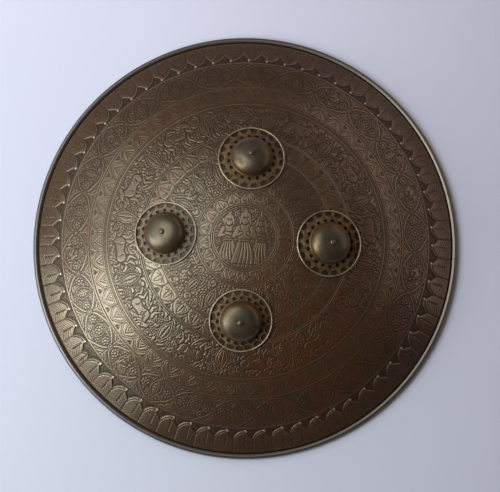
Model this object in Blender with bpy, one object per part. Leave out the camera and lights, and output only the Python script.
"""A dhal: a round domed steel shield with a carved face, a bound edge and four pierced bosses.

The shield lies with its domed face up. The origin is the centre of the circle that it rests on,
+Z runs up through the medallion, and the bosses stand on the X and Y axes.
"""

import math

import bmesh
import bpy
from mathutils import Matrix, Vector
from mathutils.geometry import delaunay_2d_cdt

MM = 0.001

# The plate: a cap of a sphere. The carved ground is cut down from its smooth face.
EDGE_RADIUS = 222.2 * MM  # of the face where the middle of the binding lies
EDGE_Z = 3.5 * MM
DEPTH = 80.0 * MM
PLATE = 1.8 * MM
RELIEF = 0.7 * MM
GAP = 0.3 * MM  # left between pieces that touch
BACK_RINGS = ((216, 72), (195, 40), (165, 36), (135, 32), (102, 28), (66, 20), (28, 8))

# The binding: a half-round strip folded over the edge of the plate.
BEAD_HALF_WIDTH = 3.6 * MM
BEAD_HALF_HEIGHT = 3.0 * MM
BEAD_SLOT = 1.2 * MM  # how far the plate goes in past the middle
BEAD_CORNERS = (155, 112, 68, 22, -33, -71, -113, -155)  # degrees; -33 and -71 make the flat below
BEAD_STEP = 5.0  # degrees round the shield
BINDINGS = (("far", 17.9, 181.3), ("near", 181.3, 359.9), ("short", 359.9, 377.9))

# The carved rings, from the edge inwards.
EDGE_TURN = 72
PETALS = 64  # whole ones, and half a petal fills what is left
HALF_PETAL = 218.5  # degrees
PETAL_VALLEY = 204.5 * MM
PETAL_SHOULDER = 199.3 * MM
PETAL_TIP = 195.8 * MM
LEAVES = 26
LEAF_MIDDLE = 177.4 * MM
ARCH_FILLET = (161.2 * MM, 164.2 * MM)
SMALL_ARCHES = 48
SMALL_ARCH = (148.0 * MM, 159.6 * MM)
BROAD_FILLET = (141.5 * MM, 146.4 * MM)
BEASTS = 12
HUNT_MIDDLE = 125.5 * MM
HUNT_FILLET = (106.5 * MM, 109.6 * MM)
LARGE_ARCHES = 32
LARGE_ARCH = (90.5 * MM, 105.0 * MM)
SCROLL_LEAVES = 12  # three between each two bosses
SCROLL_MIDDLE = 71.0 * MM
INNER_FILLET = (47.8 * MM, 51.0 * MM)
CENTRE_ARCHES = 18
CENTRE_ARCH = (36.2 * MM, 46.4 * MM)
MEDALLION_RING = (31.2 * MM, 34.6 * MM)

# The bosses, each in a frame of its own: +Z away from the face, the origin on the face.
BOSSES = (  # name, degrees, distance from the middle, radius over the wire
    ("right", 0.0, 86.2 * MM, 34.4 * MM),
    ("far", 89.0, 83.4 * MM, 34.6 * MM),
    ("left", 180.0, 81.6 * MM, 33.0 * MM),
    ("near", 270.5, 84.6 * MM, 32.6 * MM),
)
FLANGE_PLATE = 1.1 * MM
WIRE_WIDTH = 1.6 * MM
WIRE_HEIGHT = 2.3 * MM
FLANGE_TURN = 30
OPENINGS = 19
OPENING = (5.8 * MM, 2.2 * MM)  # from the edge to its point and to its flat side
BRIM_RISE = 3.0 * MM
DOME_RADIUS = 21.2 * MM
DOME_HEIGHT = 16.0 * MM
DOME_FULLNESS = 0.8  # 1 is an ellipse, and less stands steeper at its foot
DOME_WALL = 1.2 * MM
DOME_RINGS = ((28, 16), (55, 12))  # degrees up the dome, and corners round it

# The studs, in the same frames.
SHANK_RADIUS = 1.9 * MM
STUD_HOLE = 2.4 * MM
STUD_HEAD_RADIUS = 3.1 * MM
STUD_HEAD_HEIGHT = 1.7 * MM
STUD_END_RADIUS = 4.6 * MM
STUD_END_PLATE = 1.6 * MM
STUD_PAD = 4.0 * MM
STUD_TURN = 8

# What a closed outline does to the part of the face inside it.
SMOOTH, CUT, HOLE = 0, 1, 2

SPHERE = (EDGE_RADIUS**2 + (DEPTH - EDGE_Z) ** 2) / (2 * (DEPTH - EDGE_Z))
EDGE_SLOPE = math.asin(EDGE_RADIUS / SPHERE)


def dome_z(radius, inset=0.0):
    """Height of the dish's face at a radius, or of a surface that lies inset under it."""
    return DEPTH - SPHERE + math.sqrt((SPHERE - inset) ** 2 - radius**2)


def polar(radius, degrees):
    angle = math.radians(degrees)
    return Vector((radius * math.cos(angle), radius * math.sin(angle)))


def circle(radius, corners, centre=(0, 0)):
    return [polar(radius, 360 * i / corners) + Vector(centre) for i in range(corners)]


def metal(name, colour, roughness):
    finish = bpy.data.materials.new(name)
    finish.use_nodes = True
    shader = finish.node_tree.nodes["Principled BSDF"]
    shader.inputs["Base Color"].default_value = (*colour, 1.0)
    shader.inputs["Roughness"].default_value = roughness
    shader.inputs["Metallic"].default_value = 1.0
    return finish


def add_object(name, bm, finish, matrix=Matrix()):
    """Links the mesh as an object with its faces turned outwards and its round sides smooth."""
    bmesh.ops.recalc_face_normals(bm, faces=bm.faces)
    mesh = bpy.data.meshes.new(name)
    bm.to_mesh(mesh)
    bm.free()
    mesh.shade_smooth()
    mesh.set_sharp_from_angle(angle=math.radians(30))
    mesh.materials.append(finish)
    thing = bpy.data.objects.new(name, mesh)
    thing.matrix_world = matrix
    bpy.context.collection.objects.link(thing)


# ---- sheets drawn on a plan --------------------------------------------------------------------


def signed_area(outline):
    return sum(a[0] * b[1] - b[0] * a[1] for a, b in zip(outline, outline[1:] + outline[:1]))


def sheet(bm, outlines):
    """Fills closed outlines, seen in plan, with triangles, and leaves the holes open.

    Each outline is a list of (x, y, z) and what it does to the face inside it. An outline counts
    over all earlier ones that hold it. Returns each outline's vertices and the faces to be cut.
    """
    points = [point for outline, _ in outlines for point in outline]
    loops = []
    for outline, _ in outlines:
        first = sum(len(loop) for loop in loops)
        loop = list(range(first, first + len(outline)))
        loops.append(loop if signed_area(outline) > 0 else loop[::-1])
    plan = [Vector(point[:2]) for point in points]
    places, _, triangles, sources, _, owners = delaunay_2d_cdt(plan, [], loops, 0, 1e-7)
    verts = [bm.verts.new((*p, points[same[0]][2])) for p, same in zip(places, sources)]
    vert_of = {point: vert for vert, same in zip(verts, sources) for point in same}
    cut = []
    for triangle, owner in zip(triangles, owners):
        does = outlines[max(owner)][1] if owner else HOLE
        if does == HOLE:
            continue
        face = bm.faces.new([verts[i] for i in triangle])
        if does == CUT:
            cut.append(face)
    first, rims = 0, []
    for outline, _ in outlines:
        rims.append([vert_of[first + i] for i in range(len(outline))])
        first += len(outline)
    return rims, cut


def join(bm, upper, lower):
    """Builds the wall between two rims that have as many corners."""
    for i in range(len(upper)):
        bm.faces.new((upper[i - 1], upper[i], lower[i], lower[i - 1]))


# ---- the carving on the dish -------------------------------------------------------------------


def petal_line():
    """The scalloped line: each petal runs inwards from broad shoulders to a small point."""
    pitch = 360 / (PETALS + 0.5)
    outline = []
    for i in range(PETALS + 1):
        width, reach = (pitch, 1.0) if i else (0.5 * pitch, 0.45)
        middle = HALF_PETAL + (i - 0.25) * pitch if i else HALF_PETAL
        shoulder = PETAL_VALLEY + (PETAL_SHOULDER - PETAL_VALLEY) * reach
        tip = PETAL_VALLEY + (PETAL_TIP - PETAL_VALLEY) * reach
        outline += [
            polar(PETAL_VALLEY, middle - 0.5 * width),
            polar(shoulder, middle - 0.3 * width),
            polar(tip, middle),
            polar(shoulder, middle + 0.3 * width),
        ]
    return outline


def fillet(radii, corners):
    """A smooth ring left standing between two cut bands."""
    inner, outer = radii
    return [(circle(outer, corners), SMOOTH), (circle(inner, corners), CUT)]


def arches(radii, count, sprung=True):
    """A ring of pointed arches with their feet on the inner radius. Small ones are plain points."""
    foot, top = radii
    spring = foot + 0.6 * (top - foot)
    pitch = 360 / count
    ring = []
    for i in range(count):
        middle = (i + 0.5) * pitch
        outline = [polar(foot, middle - 0.36 * pitch), polar(foot, middle + 0.36 * pitch)]
        if sprung:
            outline.append(polar(spring, middle + 0.40 * pitch))
        outline.append(polar(top, middle))
        if sprung:
            outline.append(polar(spring, middle - 0.40 * pitch))
        ring.append((outline, SMOOTH))
    return ring


def on_ring(shape, radius, degrees, facing=1):
    """Lays a small shape, drawn as (along the ring, outwards), on the dish."""
    return [polar(radius + y, degrees + facing * math.degrees(x / radius)) for x, y in shape]


def leaf(length, width):
    """A pointed leaf on its stem, standing outwards."""
    return ((0, -0.5 * length), (0.5 * width, 0), (0, 0.5 * length), (-0.5 * width, 0))


def beast(length):
    """A running beast from the side: tail, hind leg, belly, fore leg, head and back."""
    side = (
        (-0.50, 0.12),
        (-0.40, -0.30),
        (-0.28, -0.08),
        (0.18, -0.06),
        (0.40, -0.30),
        (0.34, 0.04),
        (0.50, 0.20),
        (0.38, 0.32),
        (0.22, 0.14),
        (-0.34, 0.20),
    )
    return [(x * length, y * length) for x, y in side]


def robed_figure(height, offset):
    """A standing figure in a long robe: hem, waist, sleeves and head, on one side and the other."""
    side = ((0.19, -0.50), (0.09, -0.04), (0.20, 0.10), (0.07, 0.24), (0.08, 0.42))
    outline = [Vector((x, y)) for x, y in side] + [Vector((-x, y)) for x, y in reversed(side)]
    return [p * height + Vector((offset, 0)) for p in outline]


def carving():
    """Every outline on the dish's face, from the edge inwards."""
    plan = [(petal_line(), CUT)]
    for i in range(LEAVES):
        outline = on_ring(leaf(20 * MM, 13 * MM), LEAF_MIDDLE, 360 * (i + 0.5) / LEAVES)
        plan.append((outline, SMOOTH))
    plan += fillet(ARCH_FILLET, 48)
    plan += arches(SMALL_ARCH, SMALL_ARCHES, sprung=False)
    plan += fillet(BROAD_FILLET, 48)
    for i in range(BEASTS):
        degrees = 360 * (i + 0.25) / BEASTS
        facing = 1 if i % 2 else -1
        plan.append((on_ring(beast(34 * MM), HUNT_MIDDLE, degrees, facing), SMOOTH))
        degrees += 180 / BEASTS
        plan.append((on_ring(leaf(26 * MM, 12 * MM), HUNT_MIDDLE, degrees), SMOOTH))
    plan += fillet(HUNT_FILLET, 48)
    plan += arches(LARGE_ARCH, LARGE_ARCHES)
    for i in range(SCROLL_LEAVES):
        degrees = 45 + 90 * (i // 3) + 19 * (i % 3 - 1)
        outline = on_ring(leaf(24 * MM, 10 * MM), SCROLL_MIDDLE, degrees)
        plan.append((outline, SMOOTH))
    plan += fillet(INNER_FILLET, 24)
    plan += arches(CENTRE_ARCH, CENTRE_ARCHES)
    plan += fillet(MEDALLION_RING, 24)
    for offset in (-14.5 * MM, 0, 14.5 * MM):
        plan.append((robed_figure(36 * MM, offset), SMOOTH))
    return plan


def make_dish(finish):
    """The plate: face and back are two sheets joined at the edge and in the four stud holes."""
    to_back = (SPHERE - PLATE) / SPHERE
    face = [(circle(EDGE_RADIUS + BEAD_SLOT * math.cos(EDGE_SLOPE), EDGE_TURN), SMOOTH)]
    face += carving()
    back = [([p * to_back for p in face[0][0]], SMOOTH)]
    back += [(circle(radius * MM, corners), SMOOTH) for radius, corners in BACK_RINGS]
    for _, degrees, distance, _ in BOSSES:
        centre = polar(distance, degrees)
        hole = circle(STUD_HOLE, 8, centre)
        face += [(circle(STUD_PAD, 8, centre), SMOOTH), (hole, HOLE)]
        back += [([p * to_back for p in hole], HOLE)]

    bm = bmesh.new()
    rims, cut = sheet(bm, [([(*p, dome_z(p.length)) for p in o], does) for o, does in face])
    floor = bmesh.ops.extrude_face_region(bm, geom=cut)["geom"]
    bmesh.ops.delete(bm, geom=cut, context="FACES")
    for vert in (v for v in floor if isinstance(v, bmesh.types.BMVert)):
        vert.co.z = dome_z(vert.co.xy.length, RELIEF)
    back_rims, _ = sheet(bm, [([(*p, dome_z(p.length, PLATE)) for p in o], d) for o, d in back])
    holes = [rim for rim, (_, does) in zip(rims, face) if does == HOLE]
    for upper, lower in zip([rims[0], *holes], [back_rims[0], *back_rims[-len(holes) :]]):
        join(bm, upper, lower)
    add_object("dish", bm, finish)


# ---- the binding -------------------------------------------------------------------------------


def bead_section():
    """The strip's section as (radius, height): a half-round with a slot that takes the plate."""
    out = Vector((math.cos(EDGE_SLOPE), -math.sin(EDGE_SLOPE)))
    away = Vector((math.sin(EDGE_SLOPE), math.cos(EDGE_SLOPE)))
    middle = Vector((EDGE_RADIUS, EDGE_Z)) - 0.5 * PLATE * away
    section = []
    for corner in BEAD_CORNERS:
        turn = math.radians(corner)
        point = middle + out * BEAD_HALF_WIDTH * math.cos(turn)
        point += away * BEAD_HALF_HEIGHT * math.sin(turn)
        section.append((point.x, max(point.y, 0.0)))
    for side in (-1, 1):
        point = middle + out * (BEAD_SLOT + GAP) + away * side * (0.5 * PLATE + GAP)
        section.append(tuple(point))
    return section


def make_binding(name, start, end, finish):
    """One strip between two butt joints."""
    gap = math.degrees(GAP / EDGE_RADIUS)
    bm = bmesh.new()
    first = polar(1.0, start + gap / 2)
    verts = [bm.verts.new((r * first.x, r * first.y, z)) for r, z in bead_section()]
    section = bm.faces.new(verts)
    bmesh.ops.spin(
        bm,
        geom=[section],
        cent=(0, 0, 0),
        axis=(0, 0, 1),
        angle=math.radians(end - start - gap),
        steps=round((end - start) / BEAD_STEP),
    )
    add_object("rim_binding_" + name, bm, finish)


# ---- the bosses and their studs ----------------------------------------------------------------


def brim_z(radius, edge):
    """Height of a boss's underside over the face, from the edge up to the foot of its dome."""
    face = math.sqrt(SPHERE**2 - radius**2) - SPHERE
    return GAP + face + BRIM_RISE * min((edge - radius) / (edge - DOME_RADIUS), 1)


def dome_ring(degrees, corners, wall, edge):
    """One ring of the boss's dome, on its outside or a wall's thickness inside it."""
    turn = math.radians(degrees)
    radius = (DOME_RADIUS - wall) * math.cos(turn) ** DOME_FULLNESS
    foot = brim_z(DOME_RADIUS, edge) + (0 if wall else FLANGE_PLATE)
    height = DOME_HEIGHT - wall - foot
    return [(*p, foot + height * math.sin(turn) ** DOME_FULLNESS) for p in circle(radius, corners)]


def boss_side(wall, edge):
    """The outlines of a boss's outside, or of its inside a wall's thickness below."""
    rise = 0.0 if wall else FLANGE_PLATE

    def ring(radius, height):
        return [(*p, brim_z(radius, edge) + height) for p in circle(radius, FLANGE_TURN)]

    outlines = [(ring(edge, 0.0 if wall else WIRE_HEIGHT), SMOOTH)]
    if not wall:
        outlines.append((ring(edge - WIRE_WIDTH, rise), SMOOTH))
    point, flat = (edge - inset for inset in OPENING)
    pitch = 360 / OPENINGS
    for i in range(OPENINGS):
        corners = ((point, 0.0), (flat, -0.36), (flat, 0.36))
        outline = [polar(radius, (i + share) * pitch) for radius, share in corners]
        outlines.append(([(*p, brim_z(p.length, edge) + rise) for p in outline], HOLE))
    outlines.append((dome_ring(0, DOME_RINGS[0][1], wall, edge), SMOOTH))
    for degrees, corners in DOME_RINGS:
        outlines.append((dome_ring(degrees, corners, wall, edge), SMOOTH))
    hole = [(*p, DOME_HEIGHT - wall) for p in circle(STUD_HOLE, 8)]
    outlines.append((hole, HOLE))
    return outlines


def boss_frame(degrees, distance):
    """The place of a boss: its origin on the dish's face and its +Z square to it."""
    x, y = polar(distance, degrees)
    place = Matrix.Translation((x, y, dome_z(distance)))
    turn = Matrix.Rotation(math.radians(degrees), 4, "Z")
    return place @ turn @ Matrix.Rotation(math.asin(distance / SPHERE), 4, "Y")


def make_boss(name, edge, finish, place):
    bm = bmesh.new()
    outside, inside = boss_side(0.0, edge), boss_side(DOME_WALL, edge)
    upper_rims, _ = sheet(bm, outside)
    lower_rims, _ = sheet(bm, inside)
    upper_open = [rim for rim, (_, does) in zip(upper_rims, outside) if does == HOLE]
    lower_open = [rim for rim, (_, does) in zip(lower_rims, inside) if does == HOLE]
    for upper, lower in zip([upper_rims[0], *upper_open], [lower_rims[0], *lower_open]):
        join(bm, upper, lower)
    add_object("boss_" + name, bm, finish, place)


def make_stud(name, finish, place):
    """A stud turned about its own axis: round head, shank and flat end behind the plate."""
    head = DOME_HEIGHT + GAP
    end = -PLATE - GAP
    profile = [
        (0.0, head + STUD_HEAD_HEIGHT),
        (0.7 * STUD_HEAD_RADIUS, head + 0.75 * STUD_HEAD_HEIGHT),
        (STUD_HEAD_RADIUS, head),
        (SHANK_RADIUS, head),
        (SHANK_RADIUS, end),
        (STUD_END_RADIUS, end),
        (STUD_END_RADIUS, end - STUD_END_PLATE),
        (0.0, end - STUD_END_PLATE),
    ]
    bm = bmesh.new()
    verts = [bm.verts.new((x, 0, z)) for x, z in profile]
    edges = [bm.edges.new(pair) for pair in zip(verts, verts[1:])]
    bmesh.ops.spin(
        bm,
        geom=verts + edges,
        cent=(0, 0, 0),
        axis=(0, 0, 1),
        angle=2 * math.pi,
        steps=STUD_TURN,
        use_merge=True,
    )
    bmesh.ops.remove_doubles(bm, verts=bm.verts, dist=1e-6)
    add_object("stud_" + name, bm, finish, place)


def main():
    for thing in list(bpy.data.objects):
        bpy.data.objects.remove(thing)
    dish_steel = metal("brown_steel", (0.16, 0.125, 0.09), 0.42)
    rim_steel = metal("dark_rim_steel", (0.13, 0.10, 0.10), 0.35)
    flange_steel = metal("gilt_boss_steel", (0.22, 0.17, 0.09), 0.35)
    stud_steel = metal("bright_stud_steel", (0.35, 0.33, 0.29), 0.30)
    make_dish(dish_steel)
    for name, start, end in BINDINGS:
        make_binding(name, start, end, rim_steel)
    for name, degrees, distance, edge in BOSSES:
        place = boss_frame(degrees, distance)
        make_boss(name, edge, flange_steel, place)
        make_stud(name, stud_steel, place)


main()
